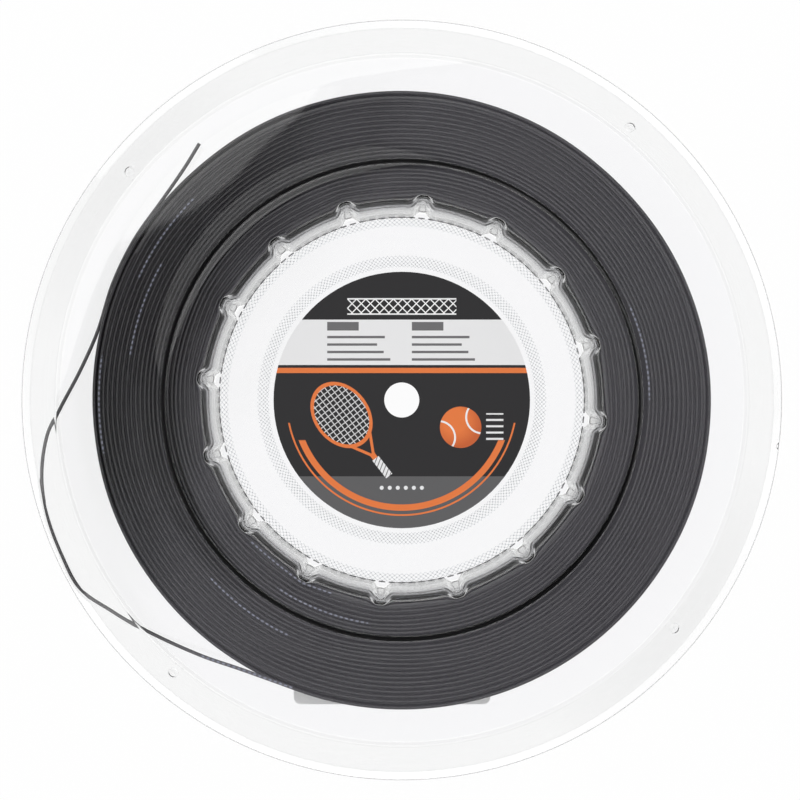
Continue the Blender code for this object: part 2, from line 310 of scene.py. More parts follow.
class Graph:
    """The node graph of one material or world."""

    def __init__(self, owner: bpy.types.Material | bpy.types.World) -> None:
        """Start an empty graph.

        Args:
            owner: The material or world that the graph belongs to.
        """
        owner.use_nodes = True
        self.owner = owner
        self.tree = owner.node_tree
        self.tree.nodes.clear()

    def node(
        self, kind: str, settings: dict[str, Any], sockets: dict[Any, Any], output: Any = 0
    ) -> Value:
        """Add a node.

        Args:
            kind: The node's type.
            settings: Its properties, and "stops" for a ramp, which are set first.
            sockets: Numbers, colours or other values, by input name or number.
            output: Name or number of the output to hand back.

        Returns:
            That output.
        """
        node = self.tree.nodes.new(kind)
        for name, value in settings.items():
            if name == "stops":
                self.set_stops(node.color_ramp, value)
            else:
                setattr(node, name, value)
        for name, value in sockets.items():
            if isinstance(value, Value):
                self.tree.links.new(value.socket, node.inputs[name])
            else:
                node.inputs[name].default_value = value
        return Value(self, node.outputs[output])

    @staticmethod
    def set_stops(ramp: bpy.types.ColorRamp, stops: list[tuple[float, Colour]]) -> None:
        """Give a ramp its stops.

        Args:
            ramp: The ramp, which has two stops when it is new.
            stops: Pairs of a position and a colour, at least two.
        """
        for position, _ in stops[2:]:
            ramp.elements.new(position)
        for element, (position, colour) in zip(ramp.elements, stops):
            element.position = position
            element.color = colour

    def mix(self, share: Any, first: Any, second: Any) -> Value:
        """The colour first where share is 0 and second where it is 1."""
        return self.node("ShaderNodeMix", {"data_type": "RGBA"}, {0: share, 6: first, 7: second}, 2)

    def place(self) -> Value:
        """The object's own coordinates, in metres."""
        return self.node("ShaderNodeTexCoord", {}, {}, "Object")

    def outputs(self, kind: str, sockets: dict[Any, Any], names: tuple[Any, ...]) -> list[Value]:
        """Several outputs of one new node."""
        first = self.node(kind, {}, sockets, names[0])
        return [Value(self, first.socket.node.outputs[name]) for name in names]

    def split(self, vector: Value) -> list[Value]:
        """The three numbers of a vector."""
        return self.outputs("ShaderNodeSeparateXYZ", {0: vector}, (0, 1, 2))

    def rays(self, *names: str) -> list[Value]:
        """What the Light Path node says of a ray, under each name."""
        return self.outputs("ShaderNodeLightPath", {}, names)

    def attribute(self, name: str) -> Value:
        """A number that the mesh holds at each point."""
        return self.node("ShaderNodeAttribute", {"attribute_name": name}, {}, "Fac")

    def noise(self, vector: Value, scale: float, detail: float, roughness: float = 0.5) -> Value:
        """Soft noise from 0 to 1; scale is in waves for each metre."""
        sockets = {"Vector": vector, "Scale": scale, "Detail": detail, "Roughness": roughness}
        return self.node("ShaderNodeTexNoise", {}, sockets, "Fac")

    def bump(self, height: Value, depth: float) -> Value:
        """A normal that follows a height.

        Args:
            height: Height from 0 to 1.
            depth: What the height 1 stands for, in metres.

        Returns:
            The bent normal.
        """
        return self.node("ShaderNodeBump", {}, {"Strength": 1.0, "Distance": depth, "Height": height})

    def finish(self, shader: Value) -> bpy.types.Material | bpy.types.World:
        """Send a shader to the output.

        Args:
            shader: The shader of the surface, or of the world's background.

        Returns:
            The material or world.
        """
        kind = "World" if isinstance(self.owner, bpy.types.World) else "Material"
        node = self.tree.nodes.new("ShaderNodeOutput" + kind)
        self.tree.links.new(shader.socket, node.inputs["Surface"])
        return self.owner

    def principled(self, sockets: dict[str, Any]) -> Value:
        """A Principled shader with the given sockets."""
        return self.node("ShaderNodeBsdfPrincipled", {}, sockets, "BSDF")

    def lit_through(self, shader: Value, tint: Colour) -> Value:
        """Let light reach what lies behind a clear shader, with only its tint taken off.

        Shadow and diffuse rays pass straight through it, and so do rays that something behind the sheet
        reflects: those that have already crossed its two sides.

        Args:
            shader: The clear shader.
            tint: The colour of what passes.

        Returns:
            The two ways together.
        """
        shadow, diffuse, glossy, refracted, crossings = self.rays(
            "Is Shadow Ray", "Is Diffuse Ray", "Is Glossy Ray", "Is Transmission Ray", "Transmission Depth"
        )
        behind = glossy * (1.0 - refracted) * crossings.rises(1.5, 0.5)
        passing = (shadow + diffuse + behind).capped()
        clear = self.node("ShaderNodeBsdfTransparent", {}, {"Color": tint})
        return self.node("ShaderNodeMixShader", {}, {0: passing, 1: shader, 2: clear})


def grey(level: float) -> Colour:
    """A neutral colour of a linear level."""
    return (level, level, level, 1.0)


def new_graph(name: str) -> Graph:
    """An empty graph in a new material."""
    return Graph(bpy.data.materials.new(name))


# Finishes

@dataclass(frozen=True)
class ClearSheetFinish:
    """Clear formed sheet: smooth, faintly wavy from the mould, with fine scuffs in patches,
    and with painted shade greying its hub wall.

    The lines and the rim are heights in millimetres, low and high. The other pairs named edge are a
    level and its softness.
    """

    tint: Colour = (0.998, 0.999, 0.999, 1.0)
    refraction: float = 1.48
    smooth: float = 0.02
    scuffed: float = 0.11
    # Grey of the painted shade on the hub wall.
    wall_shade_tint: Colour = (0.40, 0.40, 0.41, 1.0)
    wave_depth: float = 0.00009
    waves: float = 26.0
    patch_edge: Pair = (0.62, 0.2)
    scuffs: float = 900.0
    scuff_stretch: Point = (1.0, 0.12, 1.0)
    scuff_edge: Pair = (0.68, 0.08)
    low_line: Pair = (2.7, 3.2)
    low_line_shade: float = 0.25
    high_line: Pair = (6.0, 6.6)
    high_line_shade: float = 0.35
    line_edge: float = 0.3
    drawn_edge: Pair = (4.0, 4.0)
    drawn_wall_shade: float = 0.26
    wall_rim: Pair = (8.4, 10.6)
    rim_edge: float = 1.2

    def material(self) -> bpy.types.Material:
        """Clear plastic whose roughness rises in fine scuffs and whose normal follows slow waves.

        The drawn hub wall is greyed upwards with painted shade, more so in two fine lines and at its rim,
        whose heights are in mm. Light on its way to what lies behind the sheet goes straight through,
        instead of being lost.

        Returns:
            The material.
        """
        graph = new_graph("clear_sheet")
        place = graph.place()
        height = abs(graph.split(place)[2]) * MILLIMETRES
        # Painted shade: a grey tint darkens the hub wall upwards, in two fine lines and at its rim.
        lines = (height.between(*self.low_line, self.line_edge) * self.low_line_shade
                 + height.between(*self.high_line, self.line_edge) * self.high_line_shade)
        drawn = (height.rises(*self.drawn_edge) * self.drawn_wall_shade
                 + height.between(*self.wall_rim, self.rim_edge))
        painted_wall_shade = (lines + drawn).capped() * graph.attribute("wall")
        colour = graph.mix(painted_wall_shade, self.tint, self.wall_shade_tint)
        patches = graph.noise(place, self.waves, 2.0).rises(*self.patch_edge)
        lengthways = {"Vector": place, "Scale": self.scuff_stretch}
        stretched = graph.node("ShaderNodeMapping", {}, lengthways)
        scratches = graph.noise(stretched, self.scuffs, 1.0).rises(*self.scuff_edge)
        roughness = patches * scratches * (self.scuffed - self.smooth) + self.smooth
        waves = graph.bump(graph.noise(place, self.waves, 1.0), self.wave_depth)
        sheet = graph.principled({
            "Base Color": colour,
            "Roughness": roughness,
            "IOR": self.refraction,
            "Transmission Weight": 1.0,
            "Normal": waves,
        })
        return graph.finish(graph.lit_through(sheet, self.tint))


@dataclass(frozen=True)
class WeldFinish:
    """Sheet that the welding knurl has pressed and dulled."""

    tint: Colour = (0.84, 0.85, 0.86, 1.0)
    refraction: float = 1.48
    low_roughness: float = 0.12
    high_roughness: float = 0.30
    grain: float = 1500.0

    def material(self, name: str) -> bpy.types.Material:
        """Dulled clear plastic with a fine grain in its roughness.

        Args:
            name: The material's name.

        Returns:
            The material.
        """
        graph = new_graph(name)
        grain = graph.noise(graph.place(), self.grain, 2.0)
        roughness = grain * (self.high_roughness - self.low_roughness) + self.low_roughness
        knurl = graph.principled({
            "Base Color": self.tint,
            "Roughness": roughness,
            "IOR": self.refraction,
            "Transmission Weight": 1.0,
        })
        return graph.finish(graph.lit_through(knurl, self.tint))


@dataclass(frozen=True)
class StringFinish:
    """Black coated nylon string with small groups of pale ticks printed along it."""

    dark: Colour = (0.0045, 0.0043, 0.0050, 1.0)
    light: Colour = (0.0095, 0.0090, 0.0106, 1.0)
    print_colour: Colour = (0.190, 0.202, 0.262, 1.0)
    refraction: float = 1.52
    low_roughness: float = 0.26
    high_roughness: float = 0.38
    shades: float = 60.0
    grain: float = 1400.0
    grain_depth: float = 0.000008
    mark_period: float = 1.87
    mark_length: float = 0.034
    mark_edge: float = 0.0006
    tick_pitch: float = 0.0019
    tick_length: float = 0.0011
    tick_edge: float = 0.0004
    printed_side: Pair = (0.80, 0.14)

    def ticks(self, graph: Graph) -> Value:
        """Where the printed ticks lie, from the distance along the string and the side that shows.

        Args:
            graph: The string's graph.

        Returns:
            A mask.
        """
        along = graph.attribute("along")
        group = (along % self.mark_period).between(0.0, self.mark_length, self.mark_edge)
        tick = (along % self.tick_pitch).between(0.0, self.tick_length, self.tick_edge)
        return group * tick * graph.attribute("facing").rises(*self.printed_side)

    def material(self, name: str, printed: bool) -> bpy.types.Material:
        """Dark semi-gloss nylon.

        Args:
            name: The material's name.
            printed: Whether the piece carries the "along" and "facing" numbers for the ticks.

        Returns:
            The material.
        """
        graph = new_graph(name)
        place = graph.place()
        shade = graph.noise(place, self.shades, 2.0)
        grain = graph.noise(place, self.grain, 1.0)
        colour = graph.mix(shade, self.dark, self.light)
        if printed:
            colour = graph.mix(self.ticks(graph), colour, self.print_colour)
        return graph.finish(graph.principled({
            "Base Color": colour,
            "Roughness": shade * (self.high_roughness - self.low_roughness) + self.low_roughness,
            "IOR": self.refraction,
            "Normal": graph.bump(grain, self.grain_depth),
        }))


@dataclass(frozen=True)
class LabelFinish:
    """The printed disc: charcoal, orange and pale grey, with a plain racket and ball.

    The print's sizes are in millimetres from the disc's middle, and the paper's are in metres. Pairs
    are a low and a high edge, a place, or, for ball_shade, a distance and its softness.
    """

    charcoal: Colour = (0.0150, 0.0143, 0.0157, 1.0)
    slate: Colour = (0.115, 0.114, 0.117, 1.0)
    orange: Colour = (0.850, 0.207, 0.047, 1.0)
    deep_orange: Colour = (0.620, 0.122, 0.027, 1.0)
    pale: Colour = (0.880, 0.880, 0.885, 1.0)
    white: Colour = (0.930, 0.930, 0.930, 1.0)
    mid_grey: Colour = (0.160, 0.158, 0.162, 1.0)
    refraction: float = 1.34
    smoothest: float = 0.34
    fibre_roughness: float = 0.12
    fibre_depth: float = 0.000008
    fibres: float = 2400.0
    paper_top: float = 0.00135
    paper_edge: float = 0.00002
    foot_edge: float = -26.6
    panel: Pair = (12.2, 28.0)
    stripe: Pair = (9.4, 11.2)
    wide_arc: Pair = (36.4, 38.6)
    wide_arc_top: float = -14.0
    thin_arc: Pair = (39.8, 40.4)
    thin_arc_top: float = -8.0
    arc_end_edge: float = 0.3
    left_column: float = -26.0
    right_column: float = 3.5
    rows_foot: float = 12.9
    rows: Pair = (13.1, 23.3)
    row_pitch: float = 2.6
    tabs: Pair = (24.2, 27.2)
    weave_pitch: float = 3.2
    weave_line: float = 0.55
    weave_band: Pair = (30.2, 35.0)
    weave_frame: Pair = (29.7, 35.5)
    weave_reach: float = 19.0
    racket_place: Pair = (-21.0, -5.2)
    racket_lean: float = -52.0
    hoop: Pair = (12.6, 9.6)
    hoop_rim: Pair = (0.89, 1.0)
    hoop_edge: float = 0.012
    bed_edge: float = 0.90
    bed_pitch: float = 1.75
    bed_line: float = 0.32
    bed_strength: float = 0.8
    throat: Pair = (8.5, 17.6)
    throat_meets: float = 17.4
    throat_slope: float = 0.55
    shaft: tuple[float, ...] = (17.0, 19.5, -0.95, 0.95)
    grip: tuple[float, ...] = (19.2, 27.0, -1.35, 1.35)
    grip_pitch: float = 1.5
    grip_seam: float = 0.35
    ball_place: Pair = (20.5, -9.5)
    ball_lean: float = 25.0
    ball_radius: float = 7.2
    ball_light: Pair = (18.4, -7.2)
    ball_shade: Pair = (6.6, 5.0)
    seam_offset: float = 8.4
    seam: Pair = (5.35, 6.0)
    motion: tuple[float, ...] = (29.4, 35.4, -14.0, -4.6)
    motion_pitch: float = 2.2
    motion_line: float = 0.7
    dot_pitch: float = 2.8
    dot_height: float = -30.6
    dot_radius: float = 0.70
    dot_reach: float = 8.4

    def turned(
        self, x: Value, y: Value, centre: Pair, degrees: float
    ) -> tuple[Value, Value]:
        """Coordinates about a centre, turned: (x cos a + y sin a, y cos a - x sin a).

        Args:
            x: How far to the right.
            y: How far up.
            centre: The new origin.
            degrees: The angle a.

        Returns:
            The turned pair.
        """
        cosine, sine = math.cos(math.radians(degrees)), math.sin(math.radians(degrees))
        across, up = x - centre[0], y - centre[1]
        return across * cosine + up * sine, up * cosine - across * sine

    def bar(self, x: Value, y: Value, left: float, right: float, low: float, high: float) -> Value:
        """Mask of an upright box."""
        return x.between(left, right) * y.between(low, high)

    def distance(self, x: Value, y: Value) -> Value:
        """The length of (x, y)."""
        return (x * x + y * y).math("SQRT")

    def racket(self, x: Value, y: Value) -> list[Value]:
        """A plain racket.

        With u along the shaft and v across it, the hoop's outline is (u / a)^2 + (v / b)^2 = 1.

        Args:
            x: How far to the right of the disc's middle, in mm.
            y: How far above it.

        Returns:
            Masks of the string bed, the hoop with throat and shaft, the grip and the grip's seams.
        """
        u, v = self.turned(x, y, self.racket_place, self.racket_lean)
        oval = self.distance(u / self.hoop[0], v / self.hoop[1])
        lines = (((u + 0.8) % self.bed_pitch).falls(self.bed_line)
                 + ((v + 0.7) % self.bed_pitch).falls(self.bed_line))
        bed = oval.falls(self.bed_edge, self.hoop_edge) * lines.capped() * self.bed_strength
        flare = ((self.throat_meets - u) * self.throat_slope).math("MAXIMUM", 0.0)
        arms = u.between(*self.throat) * (abs(v) - flare).between(-0.1, 1.0)
        throat = arms * oval.rises(0.98, self.hoop_edge)
        rim = oval.between(*self.hoop_rim, self.hoop_edge)
        hoop = (rim + throat + self.bar(u, v, *self.shaft)).capped()
        grip = self.bar(u, v, *self.grip)
        seams = grip * ((u + v * 0.6) % self.grip_pitch).falls(self.grip_seam)
        return [bed, hoop, grip, seams]

    def ball(self, x: Value, y: Value) -> list[Value]:
        """A plain ball.

        Args:
            x: How far to the right of the disc's middle, in mm.
            y: How far above it.

        Returns:
            Masks of the ball, of the shade on its lower right side and of its two seams.
        """
        u, v = self.turned(x, y, self.ball_place, self.ball_lean)
        disc = self.distance(u, v).falls(self.ball_radius)
        left = self.distance(u + self.seam_offset, v).between(*self.seam)
        right = self.distance(u - self.seam_offset, v).between(*self.seam)
        shade = self.distance(x - self.ball_light[0], y - self.ball_light[1]).rises(*self.ball_shade)
        return [disc, disc * shade, disc * (left + right).capped()]

    def panel_rows(self, x: Value, y: Value) -> Value:
        """The panel's plain print: two tabs over two columns of four bars of unlike length.

        Args:
            x: How far to the right of the disc's middle, in mm.
            y: How far above it.

        Returns:
            A mask.
        """
        up = y - self.rows_foot
        ragged = (up / self.row_pitch).math("FLOOR") * 2.3 % 5.0
        bars = (x.rises(self.left_column) * (x + ragged).falls(-4.0)
                + x.rises(self.right_column) * (x + ragged).falls(25.5))
        tabs = x.between(self.left_column, -15.0) + x.between(self.right_column, 14.5)
        rows = (up % self.row_pitch).between(0.8, 1.65) * y.between(*self.rows)
        return (bars * rows + tabs * y.between(*self.tabs)).capped()

    def weave(self, x: Value, y: Value) -> Value:
        """A band of crossed strings above the panel, between two thin lines.

        Args:
            x: How far to the right of the disc's middle, in mm.
            y: How far above it.

        Returns:
            A mask.
        """
        (low, high), (foot, top) = self.weave_band, self.weave_frame
        rising, falling = (x + y) % self.weave_pitch, (x - y) % self.weave_pitch
        crossed = (rising.falls(self.weave_line) + falling.falls(self.weave_line)).capped()
        edges = y.between(foot, low) + y.between(high, top)
        band = (crossed * y.between(low, high) + edges).capped()
        return band * x.between(-self.weave_reach, self.weave_reach)

    def layers(self, x: Value, y: Value) -> list[tuple[Value, Colour]]:
        """The printed areas, in the order in which they are laid down.

        Args:
            x: How far to the right of the disc's middle, in mm.
            y: How far above it.

        Returns:
            Pairs of a mask and a colour.
        """
        radius = self.distance(x, y)
        wide = radius.between(*self.wide_arc) * y.falls(self.wide_arc_top, self.arc_end_edge)
        thin = radius.between(*self.thin_arc) * y.falls(self.thin_arc_top, self.arc_end_edge)
        motion = self.bar(x, y, *self.motion) * ((y + 13.9) % self.motion_pitch).falls(self.motion_line)
        dot = self.distance(x % self.dot_pitch - self.dot_pitch / 2, y - self.dot_height)
        dots = dot.falls(self.dot_radius) * x.between(-self.dot_reach, self.dot_reach)
        return [
            (y.falls(self.foot_edge), self.slate),
            ((wide + thin).capped(), self.orange),
            (y.between(*self.panel), self.pale),
            (y.between(*self.stripe), self.orange),
            (self.panel_rows(x, y), self.mid_grey),
            (self.weave(x, y), self.white),
            *zip(self.racket(x, y), (self.pale, self.orange, self.pale, self.mid_grey)),
            *zip(self.ball(x, y), (self.orange, self.deep_orange, self.white)),
            (motion, self.pale),
            (dots, self.pale),
        ]

    def material(self) -> bpy.types.Material:
        """Coated paper with the print on its upper side and plain white below.

        Returns:
            The material.
        """
        graph = new_graph("label_print")
        place = graph.place()
        x, y, z = graph.split(place)
        colour = self.charcoal
        for mask, paint in self.layers(x * MILLIMETRES, y * MILLIMETRES):
            colour = graph.mix(mask, colour, paint)
        colour = graph.mix(z.falls(self.paper_top, self.paper_edge), colour, self.white)
        fibre = graph.noise(place, self.fibres, 2.0)
        return graph.finish(graph.principled({
            "Base Color": colour,
            "Roughness": fibre * self.fibre_roughness + self.smoothest,
            "IOR": self.refraction,
            "Normal": graph.bump(fibre, self.fibre_depth),
        }))


@dataclass(frozen=True)
class PaperFinish:
    """Uncoated sticker paper, seen from its gummed side through the sheets."""

    light: Colour = (0.98, 0.98, 0.96, 1.0)
    dark: Colour = (0.90, 0.90, 0.885, 1.0)
    smoothest: float = 0.62
    fibre_roughness: float = 0.2
    fibre_depth: float = 0.00002
    fibres: float = 1100.0
    mottles: float = 140.0
    mottle_share: float = 0.6

    def material(self) -> bpy.types.Material:
        """Pale paper with fibres and a slow mottle.

        Returns:
            The material.
        """
        graph = new_graph("sticker_paper")
        place = graph.place()
        mottle = graph.noise(place, self.mottles, 3.0)
        fibre = graph.noise(place, self.fibres, 3.0, 0.7)
        shade = mottle * self.mottle_share + fibre * (1.0 - self.mottle_share)
        return graph.finish(graph.principled({
            "Base Color": graph.mix(shade, self.light, self.dark),
            "Roughness": fibre * self.fibre_roughness + self.smoothest,
            "Normal": graph.bump(fibre, self.fibre_depth),
        }))


# The reel's parts

@dataclass(frozen=True)
class Ribs:
    """The ribs round the hub wall. The foot, the top and both clear angles count from a rib's middle."""

    count: int = 16
    low_height: float = 0.0022
    high_height: float = 0.0030
    wall_top: float = 0.0091
    foot: float = 0.0660
    top: float = 0.0120
    clear_foot: float = 0.0280
    clear_end: float = 0.0620
    first: float = math.radians(16.3)

    @property
    def pitch(self) -> float:
        """Angle from one rib to the next."""
        return 2 * math.pi / self.count

    def offset(self, angle: np.ndarray) -> np.ndarray:
        """Angle from the nearest rib's middle."""
        return np.mod(angle - self.first + self.pitch / 2, self.pitch) - self.pitch / 2

    def rise(self, angle: np.ndarray, height: np.ndarray) -> np.ndarray:
        """How far the ribs stand out: nothing from a rib's foot on, most on its top near the flange."""
        growth = (self.high_height - self.low_height) * smooth_step(height, 0.0, self.wall_top)
        return (self.low_height + growth) * smooth_step(np.abs(self.offset(angle)), self.foot, self.top)

    def between(self, angle: np.ndarray) -> np.ndarray:
        """1 between the ribs and 0 at them."""
        return smooth_step(np.abs(self.offset(angle)), self.clear_foot, self.clear_end)


RIBS = Ribs()


@dataclass(frozen=True)
class Corner:
    """A corner of the sheet's section on its string side."""

    radius: float
    height: float
    fillet: float = 0.0
    rows_before: int = 1
    fillet_rows: int = 0


@dataclass
class ClearShell:
    """One half of the clear sheet, as a closed grid: section rows round it, angles about the hub."""

    thickness: float = 0.0008
    rib_start: float = 0.0617
    rib_full: float = 0.0642
    rib_fade: float = 0.0674
    rib_end: float = 0.0726
    wall_inside: float = 0.0684
    wall_outside: float = 0.0700
    dimple_radius: float = 0.1236
    dimple_first: float = math.radians(50.0)
    dimple_count: int = 4
    dimple_size: float = 0.0015
    dimple_height: float = 0.00032
    dimple_flat: float = 0.72
    notch_angle: float = math.radians(-7.0)
    notch_depth: float = 0.0010
    notch_half_angle: float = math.radians(0.45)
    flip_axis: float = math.radians(50.05)
    columns_per_rib: int = 28
    fine_columns: int = 13
    sharp_degrees: float = 35.0
    finish: ClearSheetFinish = ClearSheetFinish()
    corners: tuple[Corner, ...] = (
        Corner(0.0061, 0.00015),
        Corner(0.0608, 0.00015, rows_before=3),
        Corner(0.0642, 0.00015, 0.0013, 6, 6),
        Corner(0.0676, 0.0091, 0.0024, 7, 5),
        Corner(0.0695, 0.0106, 0.0020, 1, 5),
        Corner(0.0755, 0.0106, rows_before=8),
        Corner(0.0818, 0.0106, 0.0003, 2, 3),
        Corner(0.0836, 0.0098, 0.0003, 2, 3),
        Corner(0.1200, 0.0098, 0.0008, 5, 4),
        Corner(0.1218, 0.00816, rows_before=2),
        Corner(0.1254, 0.00488, rows_before=12),
        Corner(0.1290, 0.0016, 0.0025, 2, 5),
        Corner(0.13229, 0.0004, rows_before=4),
    )

    def section(self) -> np.ndarray:
        """The string side as (radius, height) rows.

        Straight stretches are cut evenly. A fillet is the parabola (1-s)^2 A + 2s(1-s) C + s^2 B,
        where C is the corner and A and B lie on its two sides at fillet tan(half the turn).

        Returns:
            An array of rows from the spindle hole to the lip.
        """
        places = np.array([(c.radius, c.height) for c in self.corners])
        forward = unit(np.diff(places, axis=0))
        rows = [places[:1]]
        start = places[0]
        for number, corner in enumerate(self.corners[1:], 1):
            here = places[number]
            reach = 0.0
            if corner.fillet:
                turn = math.acos(float(np.clip(forward[number - 1] @ forward[number], -1.0, 1.0)))
                reach = corner.fillet * math.tan(turn / 2)
            before = here - reach * forward[number - 1]
            share = np.linspace(0.0, 1.0, corner.rows_before + 1)[1:, None]
            rows.append(start + share * (before - start))
            start = before
            if corner.fillet:
                after = here + reach * forward[number]
                s = np.linspace(0.0, 1.0, corner.fillet_rows + 1)[1:, None]
                rows.append((1 - s) ** 2 * before + 2 * s * (1 - s) * here + s ** 2 * after)
                start = after
        return np.concatenate(rows)

    def dimple_angles(self) -> np.ndarray:
        """Angles of the dimples, evenly spaced, as a column."""
        number = np.arange(self.dimple_count)[:, None]
        return self.dimple_first + 2 * math.pi / self.dimple_count * number

    def angles(self) -> np.ndarray:
        """Column angles: closer together on the ribs, and closest at the dimples and the notch.

        Returns:
            The angles in rising order, from 0 to a turn.
        """
        half = self.columns_per_rib // 2
        even = (np.arange(self.columns_per_rib) - half) / half
        local = RIBS.pitch / 2 * (0.5 * even + 0.5 * even ** 3)
        ribs = RIBS.first + RIBS.pitch * np.arange(RIBS.count)[:, None] + local
        fine = np.linspace(-1.0, 1.0, self.fine_columns)
        dimples = self.dimple_angles() + fine * self.dimple_size / self.dimple_radius * 1.15
        notch = self.notch_angle + 2.5 * self.notch_half_angle * fine
        columns = np.concatenate([ribs.ravel(), dimples.ravel(), notch])
        return np.unique(np.round(np.mod(columns, 2 * math.pi), 6))

    def grid(self, notch_depth: float) -> np.ndarray:
        """Points of the whole section loop: the string side out, and the other side back.

        The string side is the turned section with its ribs, dimples and notch. The other side lies one
        thickness away along the normal, the cross product of the steps along rows and columns.

        Args:
            notch_depth: Depth of the notch in the lip.

        Returns:
            Points, as rows by columns by three.
        """
        section, angle = self.section(), self.angles()[None]
        radius, height = section[:, :1], section[:, 1:]
        bend, slope_end, lip_end = (self.corners[i] for i in (-5, -2, -1))
        raised = (smooth_step(radius, self.rib_start, self.rib_full)
                  * smooth_step(radius, self.rib_end, self.rib_fade))
        notch = np.exp(-((wrapped(angle - self.notch_angle) / self.notch_half_angle) ** 2))
        lip = smooth_step(radius, slope_end.radius, lip_end.radius)
        plan = radius + raised * RIBS.rise(angle, height) - notch_depth * notch * lip
        inner = around(plan, angle, height)

        near = np.min(np.abs(wrapped(angle - self.dimple_angles())), axis=0)
        run, drop = slope_end.radius - bend.radius, slope_end.height - bend.height
        up_the_slope = (radius - self.dimple_radius) * math.hypot(run, drop) / run
        distance = np.hypot(up_the_slope, self.dimple_radius * near[None])
        dimple = smooth_step(distance, self.dimple_size, self.dimple_size * self.dimple_flat)
        inner = inner + (self.dimple_height * dimple)[..., None] * self.normals(inner)
        outer = inner + self.thickness * self.normals(inner)
        return np.concatenate([inner, outer[::-1]])

    @staticmethod
    def normals(points: np.ndarray) -> np.ndarray:
        """Unit normals of a grid that closes round its columns.

        Args:
            points: Points, as rows by columns by three.

        Returns:
            One normal for each point, pointing away from the string.
        """
        along = np.gradient(points, axis=0)
        across = np.roll(points, -1, axis=1) - np.roll(points, 1, axis=1)
        return unit(np.cross(along, across))

    def build(self) -> None:
        """Make the front sheet, and the rear one as the same form turned over an axis in its plane."""
        material = self.finish.material()
        front = self.grid(self.notch_depth)
        plain = self.grid(0.0)
        axis = np.array([math.cos(self.flip_axis), math.sin(self.flip_axis), 0.0])
        rear = 2 * (plain @ axis)[..., None] * axis - plain
        quads = lattice(*front.shape[:2], True, True)
        wall = smooth_step(self.section()[:, 0], self.wall_outside, self.wall_inside)
        wall = np.repeat(np.concatenate([wall, wall[::-1]]), front.shape[1])
        for name, node, points in (
            ("front_sheet", "front_shell", front),
            ("rear_sheet", "rear_shell", rear),
        ):
            sheet = Surface(points.reshape(-1, 3), quads, values={"wall": wall})
            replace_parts(sheet.build(name, material, Slot.CLEAR_SHEET, self.sharp_degrees), node)


@dataclass(frozen=True)
class KnurlBand:
    """One ring of crossed ridges: two families of count ridges, each leaning by so many pitches."""

    inner: float
    outer: float
    count: int
    lean: float

    @property
    def pitch(self) -> float:
        """Angle from one ridge to the next of its family."""
        return 2 * math.pi / self.count

    def ridges(self, side: int) -> np.ndarray:
        """Ends of the ridges that lean to one side, which cross the other family's midway.

        Args:
            side: 1 or -1.

        Returns:
            Ridges by two ends by radius and angle.
        """
        middle = self.pitch * np.arange(self.count)[:, None]
        angle = middle + side * self.lean * self.pitch * np.array([[-0.5, 0.5]])
        radius = np.broadcast_to(np.array([[self.inner, self.outer]]), angle.shape)
        return np.stack([radius, angle], axis=-1)

    def dashes(self, share: float) -> np.ndarray:
        """Ends of short ridges along the inner circle, one for each pitch.

        Args:
            share: How much of the pitch a ridge takes.

        Returns:
            Ridges by two ends by radius and angle.
        """
        middle = self.pitch * np.arange(self.count)[:, None]
        angle = middle + share * self.pitch * np.array([[-0.5, 0.5]])
        return np.stack([np.full(angle.shape, self.inner), angle], axis=-1)


